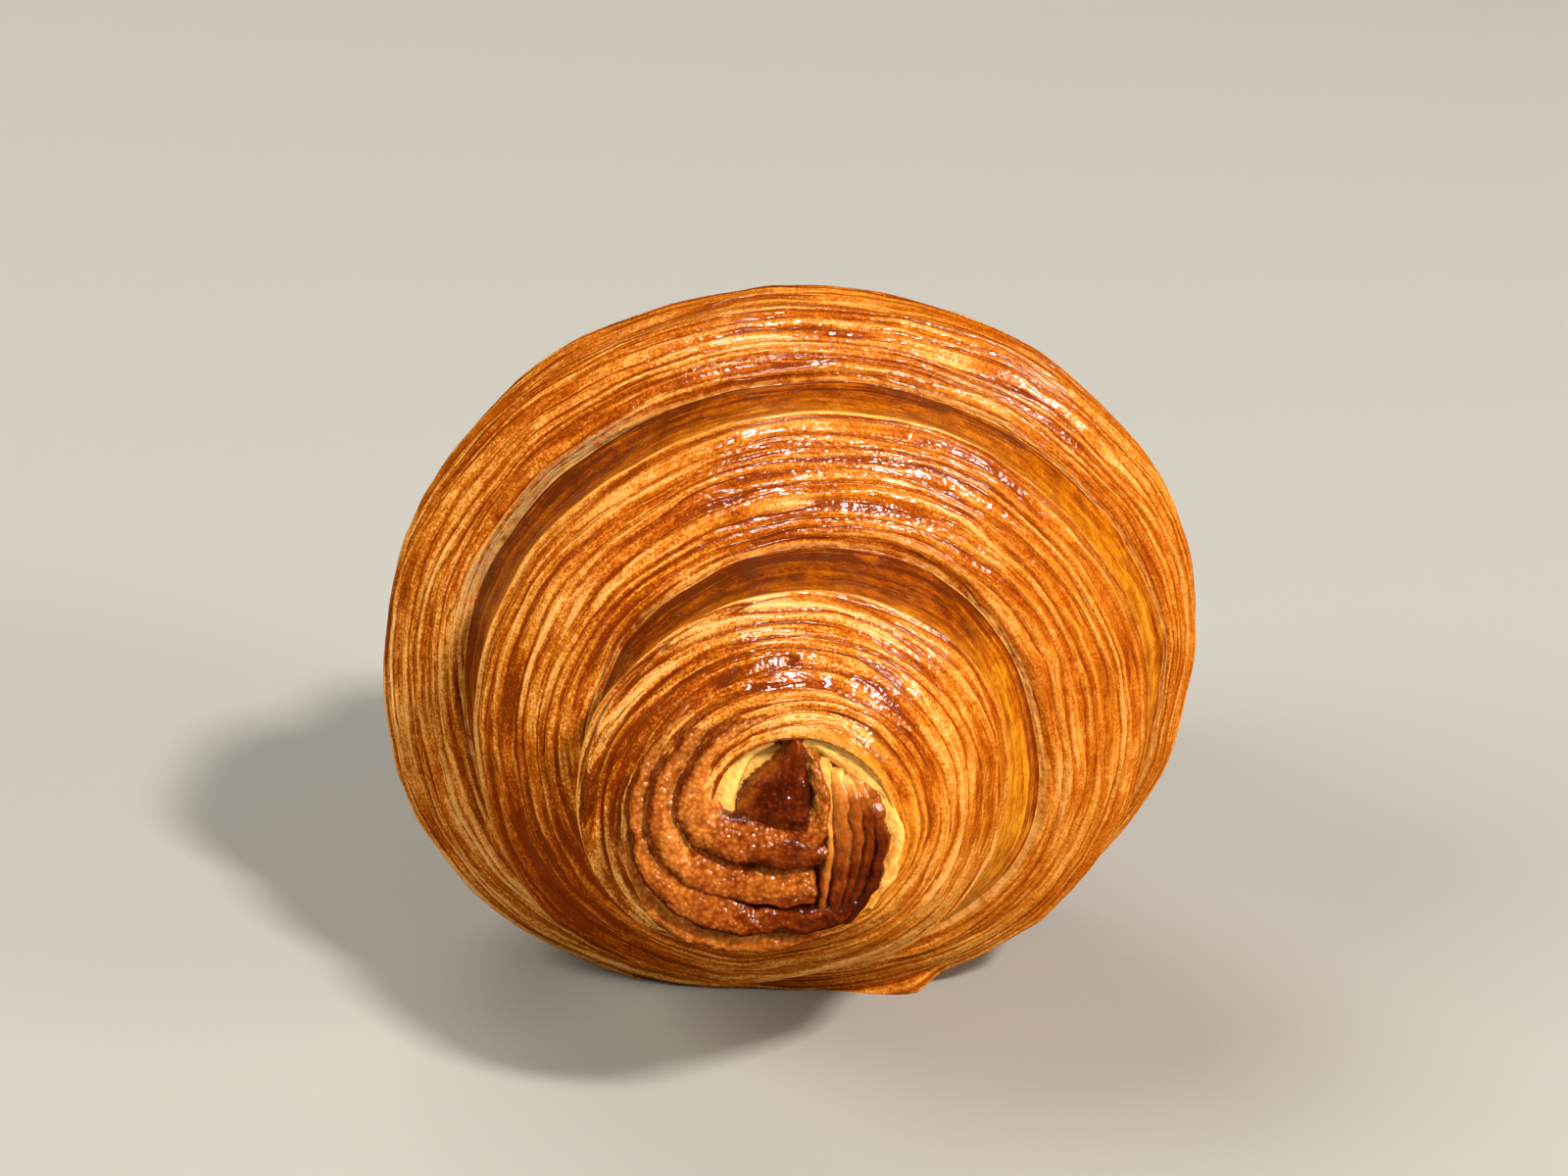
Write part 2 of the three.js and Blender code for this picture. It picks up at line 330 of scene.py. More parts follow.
# The rolled-in corner of dough that stands in the eye, strip by strip: how far a strip's lower side stands
# out, how blistered it is, and stations along it, which give the place to the right and up from the curl's
# middle, half the width, how far it stands out past the horn's end, and how brown it is
CURL = {
    "cap": (-0.9, 0.35, (
        (0.4, 9.2, 0.35, -1.2, 0.72), (0.3, 7.0, 1.3, -0.5, 0.86), (-0.5, 4.8, 2.3, 0.0, 0.92),
        (-1.2, 3.2, 3.2, 0.4, 0.94), (-1.5, 1.9, 3.6, 0.6, 0.88), (-1.5, 0.6, 3.6, 0.1, 0.8))),
    "first ring": (0.6, 1.0, (
        (-2.6, 10.8, 0.4, -1.9, 0.42), (-5.2, 9.8, 0.7, -1.3, 0.44), (-7.3, 8.0, 1.0, -0.9, 0.45),
        (-8.6, 5.6, 1.5, -0.3, 0.46), (-9.1, 2.4, 2.1, 0.3, 0.48), (-7.9, 0.1, 2.2, 0.6, 0.54),
        (-5.2, -0.9, 2.2, 0.7, 0.62), (-1.5, -0.9, 2.2, 0.8, 0.72),
        (1.2, -0.6, 2.3, 0.7, 0.7), (2.9, 1.1, 1.4, 0.5, 0.54), (3.1, 3.8, 0.9, 0.2, 0.46),
        (2.4, 6.2, 0.7, -0.6, 0.36), (1.4, 8.2, 0.3, -1.2, 0.3))),
    "first fold": (0.3, 0.35, (
        (-5.0, -1.6, 0.3, 0.5, 0.62), (-2.8, -1.9, 1.2, 1.15, 0.76), (0.3, -2.0, 1.7, 1.4, 0.82),
        (2.7, -1.8, 1.3, 1.1, 0.82), (3.5, -1.4, 0.5, 0.6, 0.74))),
    "second ring": (0.6, 1.0, (
        (-5.0, 11.6, 0.4, -4.2, 0.42), (-8.0, 9.6, 0.7, -3.1, 0.44), (-10.2, 7.2, 1.1, -2.2, 0.46),
        (-11.6, 4.2, 1.5, -1.3, 0.46), (-12.0, 1.2, 1.9, -0.2, 0.46),
        (-10.9, -2.0, 2.1, 0.2, 0.48), (-8.6, -4.1, 2.4, 0.2, 0.54), (-5.4, -5.2, 2.2, 0.3, 0.58),
        (-1.8, -5.3, 1.8, 0.5, 0.56), (2.4, -5.0, 1.6, 0.5, 0.58))),
    "second fold": (0.2, 0.35, (
        (-3.6, -6.8, 0.3, 0.3, 0.72), (-0.8, -7.0, 0.55, 0.8, 0.8), (2.3, -6.6, 0.4, 0.7, 0.84))),
    "third ring": (0.6, 1.0, (
        (-9.6, 10.8, 0.4, -5.8, 0.42), (-12.0, 8.2, 0.7, -4.7, 0.44), (-13.6, 4.8, 1.1, -3.5, 0.46),
        (-14.0, 1.4, 1.6, -2.0, 0.48), (-13.3, -2.6, 2.2, -0.7, 0.52),
        (-11.0, -5.8, 2.4, 0.1, 0.55), (-7.8, -7.9, 2.3, 0.6, 0.62), (-4.4, -9.0, 1.8, 0.8, 0.72),
        (-1.6, -9.5, 0.8, 0.7, 0.85))),
    "fourth ring": (0.4, 0.7, (
        (-15.9, -1.0, 0.5, -4.4, 0.46), (-15.5, -4.5, 1.1, -2.8, 0.46), (-13.6, -8.2, 1.4, -1.6, 0.48),
        (-10.2, -10.7, 1.4, -0.8, 0.5), (-6.0, -11.7, 1.2, -0.5, 0.5), (-1.0, -11.9, 1.0, -0.6, 0.52),
        (3.0, -11.2, 0.6, -1.2, 0.6))),
    "burnt end": (0.2, 0.5, (
        (-4.2, -8.6, 0.6, 0.3, 0.7), (-1.5, -8.9, 1.2, 0.9, 0.8), (1.5, -9.2, 1.4, 1.0, 0.86),
        (4.2, -8.8, 1.3, 0.7, 0.95), (6.6, -7.0, 0.5, 0.3, 1.0))),
    "pale edge": (0.0, 0.0, (
        (3.3, 6.8, 0.5, -1.2, 0.1), (4.0, 2.0, 0.35, 0.4, 0.3), (3.9, -2.0, 0.3, 0.7, 0.4),
        (3.3, -6.0, 0.3, 0.6, 0.6), (2.8, -8.6, 0.25, 0.4, 0.85))),
    "bundle bed": (0.0, 0.0, (
        (5.9, 5.4, 1.2, -1.8, 0.2), (6.9, 2.6, 1.8, -0.7, 0.7), (7.2, -1.0, 1.9, -0.2, 0.88),
        (6.5, -5.0, 1.8, -0.1, 1.0), (4.7, -9.5, 0.8, -0.4, 1.0))),
    "bundle 1": (-0.2, 0.0, (
        (4.7, 5.8, 0.5, -1.4, 0.1), (5.0, 3.2, 0.85, 0.1, 0.46), (5.2, -0.6, 0.95, 0.7, 0.62),
        (4.8, -4.8, 0.7, 0.7, 0.78), (3.9, -9.2, 0.4, 0.2, 0.92))),
    "bundle 2": (0.0, 0.0, (
        (5.6, 5.4, 0.4, -1.5, 0.14), (6.45, 3.0, 0.55, 0.1, 0.6), (6.7, -0.6, 0.55, 0.6, 0.72),
        (6.1, -4.8, 0.5, 0.6, 0.88), (4.5, -9.4, 0.3, 0.1, 1.0))),
    "bundle 3": (0.0, 0.0, (
        (6.6, 5.0, 0.4, -1.6, 0.2), (7.55, 2.6, 0.5, -0.1, 0.72), (7.95, -0.8, 0.5, 0.4, 0.84),
        (7.15, -4.8, 0.48, 0.5, 0.94), (4.9, -9.6, 0.3, 0.0, 1.0))),
    "bundle 4": (0.2, 0.0, (
        (7.5, 4.4, 0.4, -1.8, 0.3), (8.6, 2.0, 0.5, -0.3, 0.76), (9.15, -1.2, 0.52, 0.2, 0.9),
        (8.3, -5.2, 0.52, 0.3, 0.96), (5.6, -9.8, 0.3, -0.2, 1.0))),
    "left lining": (0.0, 0.35, (
        (-1.6, 8.6, 0.4, -2.0, 0.0), (-4.4, 7.4, 0.8, -2.0, 0.0), (-6.0, 5.2, 1.2, -1.8, 0.03),
        (-6.5, 2.8, 1.2, -1.5, 0.08), (-5.8, 0.6, 0.9, -1.2, 0.25))),
    "right lining": (0.0, 0.35, (
        (1.2, 9.0, 0.5, -1.6, 0.0), (3.8, 8.0, 1.3, -1.6, 0.0), (6.8, 6.2, 1.3, -1.5, 0.04),
        (9.2, 3.0, 1.0, -1.1, 0.14), (10.2, -1.0, 1.0, -0.8, 0.2), (9.4, -4.8, 0.9, -0.7, 0.24),
        (7.4, -8.2, 0.6, -0.9, 0.3))),
}

# The curl's place to the right and up, its size and where its edge sinks in, the floor between its strips,
# with the radii where it falls to the back and how brown it is at which heights, and the back, in the dough
CURL_MIDDLE = (-0.2, 36.4)
CURL_RADIUS = 18.0
CURL_SINKS = (0.92, 1.0)
CURL_FLOOR = -3.0
CURL_FLOOR_RADII = (8.0, 10.0)
CURL_FLOOR_HEIGHTS = (-2.0, 3.0)
CURL_FLOOR_BROWN = (0.8, 0.0)
CURL_BACK = -16.0

# How round a strip is, the share of that on its tucked side, where its shoulders end, how steep it is beyond
CURL_ROUNDING = 1.3
TUCKED_ROUNDING = 0.4
CURL_SHOULDER = 0.95
CURL_SIDE_SLOPE = 4.0

# Where across a strip its sides lie, darkened with painted shade where they round down into the crevices,
# where its darker lip lies, and where its inner side starts, made paler with painted light; how much darker
# and paler they are, and over which browns a strip goes from that painted light to that painted shade
SHADED_SIDES = (0.75, 1.0)
LIP_BROWNS = (0.55, 0.95)
LIT_SIDE_STARTS = 0.1
SIDE_SHADE_AND_LIP_BROWN = 0.35
LIT_SIDE_PALER = 0.45
LIGHT_TO_SHADE_BROWNS = (0.42, 0.56)

# Small wavering shifts: their size, how far they go to the right, up and out, and what keeps those apart
WAVERS = ((2.6, (0.35, 0.35, 0.14)), (0.9, (0.14, 0.14, 0.07)))
WAYS_APART = 17.3

# How far apart the strips' streaks are in their noise, and the fineness of the curl
STRIP_APART = 50.0
CURL_RINGS = 150
CURL_SECTORS = 320
PATH_SAMPLES = 240

# The curl's colours, from pale dough over orange to burnt brown: tone, colour
CURL_COLOURS = (
    (0.0, (0.88, 0.52, 0.12, 1)),
    (0.3, (0.58, 0.20, 0.03, 1)),
    (0.55, (0.33, 0.078, 0.008, 1)),
    (0.8, (0.14, 0.019, 0.001, 1)),
    (1.0, (0.05, 0.006, 0.001, 1)),
)

# The curl's blisters: how many to a millimetre, shape, and what they do where it is blistered and smooth
BLISTERS_PER_MM = 2.2
BLISTER_BLEND = 0.5
BLISTER_STEEPNESS = 2.2
BLISTERED_PALER = 0.13
SMOOTH_PALER = 0.04
BLISTERED_HEIGHT = 0.045
SMOOTH_HEIGHT = 0.012
BLISTER_ROUGHNESS = 0.1
BLISTERS_HIDE_STREAKS = 0.6

# How much each mark makes the curl browner, how high it stands in millimetres, and how rough the curl is
CURL_SHARES = {"mottle": 0.3, "streak": 0.22}
CURL_HEIGHTS = {"mottle": 0.08, "streak": 0.08, "dimple": 0.12}
CURL_ROUGHNESS = 0.2

# The photograph's view: image width and focal length in pixels, camera place in millimetres
IMAGE_WIDTH = 1600
FOCAL_PIXELS = 3559.0
CAMERA_PLACE = (-0.7, -373.5, 163.2)
CAMERA_DOWN = math.radians(18)
SENSOR = 36.0
NEAREST_SEEN = 10.0

# The studio, in metres
FLOOR_HALF = 4.0
FLOOR_COLOUR = (0.36, 0.35, 0.335, 1)
FLOOR_ROUGHNESS = 0.8
MATT = 0.0
STUDIO_COLOUR = (1.0, 0.97, 0.93, 1)
STUDIO_STRENGTH = 0.1
LAMP_DISTANCE = 2.6

# The lamps: degrees round from the front, degrees up, size, power, colour, and whether a lamp shines on the
# croissant and shows as a highlight in it
LAMPS = {
    "key": (38, 42, 0.26, 87.0, (1.0, 0.95, 0.86), True, True),
    "top sheen": (-12, 77, 0.6, 84.0, (1.0, 0.97, 0.94), False, True),
    "right sheen": (86, 42, 0.6, 65.0, (1.0, 0.97, 0.94), False, True),
    "left fill": (-70, 37, 1.4, 55.0, (1.0, 0.99, 0.85), True, False),
    "right fill": (62, 15, 0.7, 54.0, (1.0, 0.95, 0.80), True, False),
    "back fill": (200, 40, 1.4, 39.0, (1.0, 0.96, 0.9), True, False),
}


class Wire:
    """A socket of a node tree that can be used in sums. Without a socket it is the tree itself."""

    def __init__(self, tree, socket=None):
        self.tree = tree
        self.socket = socket

    def node(self, kind, settings=None, inputs=None, output=0):
        """Adds a node: its settings come first, then the values or links of its sockets."""
        made = self.tree.nodes.new(kind)
        for name, value in (settings or {}).items():
            if name == "points":
                set_points(made.mapping, value)
            elif name == "stops":
                set_stops(made.color_ramp, value)
            else:
                setattr(made, name, value)
        for key, value in (inputs or {}).items():
            if isinstance(value, Wire):
                self.tree.links.new(value.socket, made.inputs[key])
            else:
                made.inputs[key].default_value = value
        return Wire(self.tree, made.outputs[output])

    def maths(self, operation, *values):
        return self.node("ShaderNodeMath", {"operation": operation}, dict(enumerate(values)))

    def __add__(self, other):
        return self.maths("ADD", self, other)

    __radd__ = __add__

    def __sub__(self, other):
        return self.maths("SUBTRACT", self, other)

    def __rsub__(self, other):
        return self.maths("SUBTRACT", other, self)

    def __mul__(self, other):
        return self.maths("MULTIPLY", self, other)

    __rmul__ = __mul__

    def __truediv__(self, other):
        return self.maths("DIVIDE", self, other)

    def __rtruediv__(self, other):
        return self.maths("DIVIDE", other, self)

    def __pow__(self, other):
        return self.maths("POWER", self, other)

    def __neg__(self):
        return self.maths("MULTIPLY", self, -1.0)

    def __abs__(self):
        return self.maths("ABSOLUTE", self)

    def sin(self):
        return self.maths("SINE", self)

    def cos(self):
        return self.maths("COSINE", self)

    def floor(self):
        return self.maths("FLOOR", self)

    def fraction(self):
        return self.maths("FRACT", self)

    def root(self):
        return self.maths("SQRT", self)

    def above(self, level):
        return self.maths("GREATER_THAN", self, level)

    def least(self, other):
        return self.maths("MINIMUM", self, other)

    def most(self, other):
        return self.maths("MAXIMUM", self, other)

    def between(self, low, high):
        return self.most(low).least(high)

    def step(self, low, high):
        """0 up to low, 1 from high on, and smooth between."""
        sockets = {"Value": self, "From Min": low, "From Max": high}
        return self.node("ShaderNodeMapRange", {"interpolation_type": "SMOOTHSTEP"}, sockets)

    def within(self, starts, ends):
        """Goes smoothly from 0 to 1 where it starts, and back to 0 where it ends."""
        return self.step(*starts) * (1 - self.step(*ends))

    def toward(self, other, share):
        """This value where share is 0, the other where it is 1."""
        return self + (other - self) * share

    def parts(self):
        """The three numbers of a vector."""
        split = self.node("ShaderNodeSeparateXYZ", inputs={0: self}).socket.node
        return [Wire(self.tree, socket) for socket in split.outputs]

    def vector(self, x, y, z):
        return self.node("ShaderNodeCombineXYZ", inputs={0: x, 1: y, 2: z})

    def noise(self, place, scale=1.0, detail=2.0, roughness=0.5):
        """Smooth noise from -1 to 1 at a place."""
        sockets = {"Vector": place, "Scale": scale, "Detail": detail, "Roughness": roughness}
        return self.node("ShaderNodeTexNoise", inputs=sockets) * 2 - 1

    def blend(self, first, second, share):
        """A colour that goes from the first to the second."""
        return self.node("ShaderNodeMix", {"data_type": "RGBA"}, {0: share, 6: first, 7: second}, 2)


def set_points(mapping, points):
    """Gives a curve its points, smooth and without swinging past them."""
    line = mapping.curves[0]
    while len(line.points) < len(points):
        line.points.new(0.5, 0.5)
    for knot, (along, height) in zip(line.points, points):
        knot.location = (along, height)
        knot.handle_type = "AUTO_CLAMPED"
    mapping.update()


def set_stops(ramp, stops):
    """Gives a colour ramp its stops."""
    while len(ramp.elements) < len(stops):
        ramp.elements.new(1.0)
    for element, (place, colour) in zip(ramp.elements, stops):
        element.position = place
        element.color = colour


def added_up(marks, shares):
    """Marks added up, each by its share."""
    return sum(marks[name] * share for name, share in shares.items())


def drawn_out(net, name, along, across, seed):
    """Noise from the list of those that are drawn out along the dough."""
    length, count, shift, detail, roughness = DRAWN_OUT[name]
    place = net.vector(along / length, across * count, seed + shift)
    return net.noise(place, 1.0, detail, roughness)


def along_roll(turn, stations, column=1, longest=LONGEST):
    """A smooth line through stations along the roll."""
    points = [(station[0] / (WRAPS + 1), station[column] / longest) for station in stations]
    sockets = {"Factor": 1.0, "Value": turn / (WRAPS + 1)}
    return turn.node("ShaderNodeFloatCurve", {"points": points}, sockets) * longest


def crease_line(turn):
    """Radius and reach of the crease, which is tucked under the wrap above it."""
    tuck = turn.within(TUCK_STARTS, TUCK_ENDS) * CREASE_DEPTH
    return along_roll(turn, CREASE, 1) - tuck, along_roll(turn, CREASE, 2) - tuck


def place_on_roll(radius, reach, turn):
    """From roll coordinates to the front half: turns run clockwise, seen from the horn's end."""
    angle = turn * FULL_TURN + START_ANGLE
    down = angle.cos()
    left = angle.sin()
    power = (down / SAG_BLEND).between(0, 1) * (SAGGED_SIDES - 2) + 2
    square = (abs(down) ** power + abs(left) ** power) ** (-1 / power)
    sag = ((radius - SAG_STARTS) / (SAG_FULL - SAG_STARTS)).between(0, 1)
    spread = radius * ((square - 1) * sag + 1)
    across = -(spread * left)
    height = across * LEAN - spread * down * HEIGHT_TO_WIDTH + AXIS_HEIGHT
    return across + reach * (HORN_OFFSET / HALF_LENGTH) + ROLL_SHIFT, -reach, height.most(0)


def lumps(net, radius, reach, turn, side):
    """The uneven swelling of baked dough, as a change of radius."""
    x, y, z = place_on_roll(radius, reach, turn)
    spot = net.vector(x, y * side, z)
    return sum(net.noise(spot, 1 / breadth) * height for breadth, height in LUMPS)


def surface_tree():
    """The tree of one half of the roll: cut edges and smooth faces, wound round and round."""
    tree = bpy.data.node_groups.new("rolled half", "GeometryNodeTree")
    sockets = tree.interface
    for name, kind in (("Side", "Float"), ("Seed", "Float"), ("Columns", "Int"), ("Rows", "Int"),
                       ("Pit columns", "Int"), ("Pit rows", "Int"), ("Rim bead", "Float"),
                       ("Rim groove", "Float"), ("Crust", "Material"), ("Smooth crust", "Material")):
        sockets.new_socket(name, in_out="INPUT", socket_type="NodeSocket" + kind)
    sockets.new_socket("Geometry", in_out="OUTPUT", socket_type="NodeSocketGeometry")
    net = Wire(tree)
    given = tree.nodes.new("NodeGroupInput")
    inputs = {socket.name: Wire(tree, socket) for socket in given.outputs if socket.name}
    skins = [wound_skin(net, inputs), pit_skin(net, inputs), middle_cut(net, inputs)]
    joined = tree.nodes.new("GeometryNodeJoinGeometry")
    for skin in skins:
        tree.links.new(skin.socket, joined.inputs[0])
    skin = Wire(tree, joined.outputs[0])
    skin = net.node("GeometryNodeMergeByDistance", inputs={"Geometry": skin, "Distance": WELD * MM})
    turned = inputs["Side"].above(0)
    skin = net.node("GeometryNodeFlipFaces", inputs={"Mesh": skin, "Selection": turned})
    skin = net.node("GeometryNodeSetShadeSmooth", {"domain": "FACE"},
                    {"Geometry": skin, "Shade Smooth": True})
    _, y, _ = net.node("GeometryNodeInputPosition").parts()
    at_middle = 1 - abs(y).above(WELD * MM)
    skin = net.node("GeometryNodeSetShadeSmooth", {"domain": "EDGE"},
                    {"Geometry": skin, "Selection": at_middle, "Shade Smooth": False})
    skin = net.node("GeometryNodeRealizeInstances", inputs={"Geometry": skin})
    skin = net.node("GeometryNodeSetMaterial", inputs={"Geometry": skin, "Material": inputs["Crust"]})
    face, turn = [net.node("GeometryNodeInputNamedAttribute", {"data_type": "FLOAT"}, {"Name": name})
                  for name in ("face", "turn")]
    smooth = face.above(0) * (1 - turn.above(RIM_FADES[1]))
    skin = net.node("GeometryNodeSetMaterial", inputs={
        "Geometry": skin, "Selection": smooth, "Material": inputs["Smooth crust"]})
    out = tree.nodes.new("NodeGroupOutput")
    tree.links.new(skin.socket, out.inputs[0])
    return tree


def flat_grid(net, length, columns, rows):
    """A grid round the origin that is then wound up, and how far along and across it its points are."""
    sockets = {"Size X": float(length), "Size Y": 1.0, "Vertices X": columns, "Vertices Y": rows}
    grid = net.node("GeometryNodeMeshGrid", inputs=sockets)
    along, over, _ = net.node("GeometryNodeInputPosition").parts()
    return grid, along, over


def store(skin, **values):
    """Keeps values on the corners of a skin, for its material to read, and 0 where none is given."""
    none = skin.vector(0, 0, 0)
    settings = {"data_type": "FLOAT", "domain": "CORNER"}
    for name in KEPT:
        sockets = {"Geometry": skin, "Name": name, "Value": values.get(name, none)}
        skin = skin.node("GeometryNodeStoreNamedAttribute", settings, sockets)
    return skin


def moved(skin, x, y, z, side):
    """The skin with its points at a place in millimetres, on the front half or the back one."""
    spot = skin.vector(x * MM, y * side * MM, z * MM)
    return skin.node("GeometryNodeSetPosition", inputs={"Geometry": skin, "Position": spot})


def arc_length(turn):
    """Roughly how far along the rolled-up sheet a turn is, in millimetres."""
    return (turn * SPIRAL_RADIUS + turn * turn * SPIRAL_HALF_GROWTH) * FULL_TURN


def wound_skin(net, inputs):
    """Cut edge after cut edge and face after face, in one strip that winds from the eye to the tail."""
    side = inputs["Side"]
    seed = inputs["Seed"]
    grid, along, over = flat_grid(net, WRAPS, inputs["Columns"], inputs["Rows"])
    turn = along + WRAPS / 2
    over = over + 0.5
    edge = (over / EDGE_SHARE).least(1)
    face = ((over - EDGE_SHARE) / (1 - EDGE_SHARE)).most(0)
    on_face = face.above(0)
    in_radius, in_reach = crease_line(turn)
    next_radius, next_reach = crease_line(turn + 1)
    out_radius = along_roll(turn, RIM, 1)
    out_reach = along_roll(turn, RIM, 2)
    rise = out_radius - in_radius
    run = in_reach - out_reach
    width = (rise * rise + run * run).root().most(THINNEST_EDGE)
    strength = (width / FULL_EDGE).least(1)

    swell = (1 - (edge * 2 - 1) ** BULGE_SQUARENESS) * strength * EDGE_BULGE
    arc = arc_length(turn)
    sheet, ridge = layers(net, turn, edge + face * FACE_SHEETS, arc, seed)
    depth = ridge * along_roll(turn, SHEET_DEPTH) * strength * edge.within(SHEETS_START, SHEETS_END)
    rimmed = strength * (1 - turn.step(*RIM_FADES))
    bead = edge.step(*BEAD_STARTS) * inputs["Rim bead"] * rimmed
    groove = edge.within(GROOVE_STARTS, GROOVE_ENDS) * inputs["Rim groove"] * rimmed
    nub = turn.within(NUB_STARTS, NUB_ENDS) * edge.step(*NUB_ACROSS) * NUB
    lift = swell + depth + bead - groove + nub
    edge_radius = in_radius.toward(out_radius, edge) + lift * run / width
    edge_reach = in_reach.toward(out_reach, edge) + lift * rise / width

    wrinkle = sum(drawn_out(net, name, arc, face, seed) * height for name, height in WRINKLES.items())
    hollow = (face * math.pi).sin() * (wrinkle - FACE_SAG) * strength
    face_radius = out_radius.toward(next_radius, face) + hollow
    face_reach = out_reach.toward(next_reach, face)

    radius = edge_radius.toward(face_radius, on_face)
    reach = edge_reach.toward(face_reach, on_face)
    base_radius = in_radius.toward(out_radius, edge).toward(face_radius - hollow, on_face)
    base_reach = in_reach.toward(out_reach, edge).toward(face_reach, on_face)
    radius = radius + lumps(net, base_radius, base_reach, turn, side)
    skin = store(grid, turn=turn, edge=edge, face=face, arc=arc, sheet=sheet, seed=seed)
    return moved(skin, *place_on_roll(radius, reach, turn), side)


def layers(net, turn, edge, arc, seed):
    """The sheets of dough across a cut edge: which sheet a point is on, and how far its edge stands out."""
    uneven = drawn_out(net, "uneven", arc, edge, seed) * UNEVEN_SHEETS
    wander = drawn_out(net, "wander", arc, edge, seed) * WANDERING_SHEETS
    sheet = along_roll(turn, SHEETS) * edge ** SHEET_CROWDING + uneven + wander
    crest = sheet.fraction().within(LIP_RISES, LIP_FALLS)
    own = sheet_tone(net, sheet.floor(), arc, seed)
    fine = drawn_out(net, "crest", arc, sheet, seed)
    torn = drawn_out(net, "torn", arc, sheet, seed)
    return sheet, crest * (LIP_HEIGHT + own * OWN_HEIGHT + torn * TORN_HEIGHT) + fine * FINE_HEIGHT


def sheet_tone(net, index, arc, seed):
    """What sets one sheet apart from its neighbours, changing slowly along it, from about -1 to 1."""
    return drawn_out(net, "own", arc, index, seed) * OWN_RANGE


def pit_skin(net, inputs):
    """The open eye inside the first wrap: its pale wall goes in from the lip to a floor."""
    side = inputs["Side"]
    grid, along, over = flat_grid(net, 1, inputs["Pit columns"], inputs["Pit rows"])
    turn = along + 0.5
    inward = 0.5 - over
    lip_radius, lip_reach = crease_line(turn)
    opposite = (1 - (turn * FULL_TURN).cos()) / 2
    deep = (1 - (1 - inward) ** PIT_WALL_CURVE) * PIT_DEPTH
    uneven = lumps(net, lip_radius, lip_reach, turn, side) * (1 - inward)
    radius = lip_radius * (1 - inward ** PIT_FLOOR_CURVE) + uneven
    reach = lip_reach.toward(HALF_LENGTH, inward) - deep * opposite.toward(1.0, inward)
    skin = store(grid, turn=turn, arc=arc_length(turn), pit=inward)
    return moved(skin, *place_on_roll(radius, reach, turn), side)


def middle_cut(net, inputs):
    """Where the two halves meet, inside the dough."""
    side = inputs["Side"]
    grid, along, over = flat_grid(net, 1, inputs["Pit columns"], 2)
    turn = along + WRAPS + 0.5
    outward = 0.5 - over
    radius, reach = crease_line(turn)
    radius = (radius + lumps(net, radius, reach, turn, side)) * outward
    skin = store(grid, turn=turn)
    return moved(skin, *place_on_roll(radius, reach, turn), side)


def rolled_half(name, tree, side, seed, crust, smooth_crust):
    """One half of the roll as a plain mesh."""
    mesh = bpy.data.meshes.new(name)
    piece = bpy.data.objects.new(name, mesh)
    bpy.context.scene.collection.objects.link(piece)
    modifier = piece.modifiers.new("roll", "NODES")
    modifier.node_group = tree
    values = {
        "Side": float(side), "Seed": seed, "Columns": WRAPS * STEPS + 1, "Rows": ROWS + 1,
        "Pit columns": STEPS + 1, "Pit rows": PIT_ROWS + 1, "Rim bead": RIM_BEAD, "Rim groove": RIM_GROOVE,
        "Crust": crust, "Smooth crust": smooth_crust,
    }
    for item in tree.interface.items_tree:
        if item.in_out == "INPUT":
            modifier[item.identifier] = values[item.name]
    graph = bpy.context.evaluated_depsgraph_get()
    made = bpy.data.meshes.new_from_object(
        piece.evaluated_get(graph), preserve_all_data_layers=True, depsgraph=graph)
    piece.modifiers.clear()
    piece.data = made
    made.name = name
    return piece


def smooth_path(stations):
    """Fine samples along a strip's stations, with the corners rounded off."""
    stations = np.array(stations)
    at = np.linspace(0, len(stations) - 1, PATH_SAMPLES)
    sampled = np.stack([np.interp(at, np.arange(len(stations)), column) for column in stations.T])
    window = np.hanning(PATH_SAMPLES // len(stations) | 1)
    half = len(window) // 2
    padded = np.pad(sampled, ((0, 0), (half, half)), mode="reflect", reflect_type="odd")
    return np.stack([np.convolve(row, window / window.sum(), mode="valid") for row in padded])


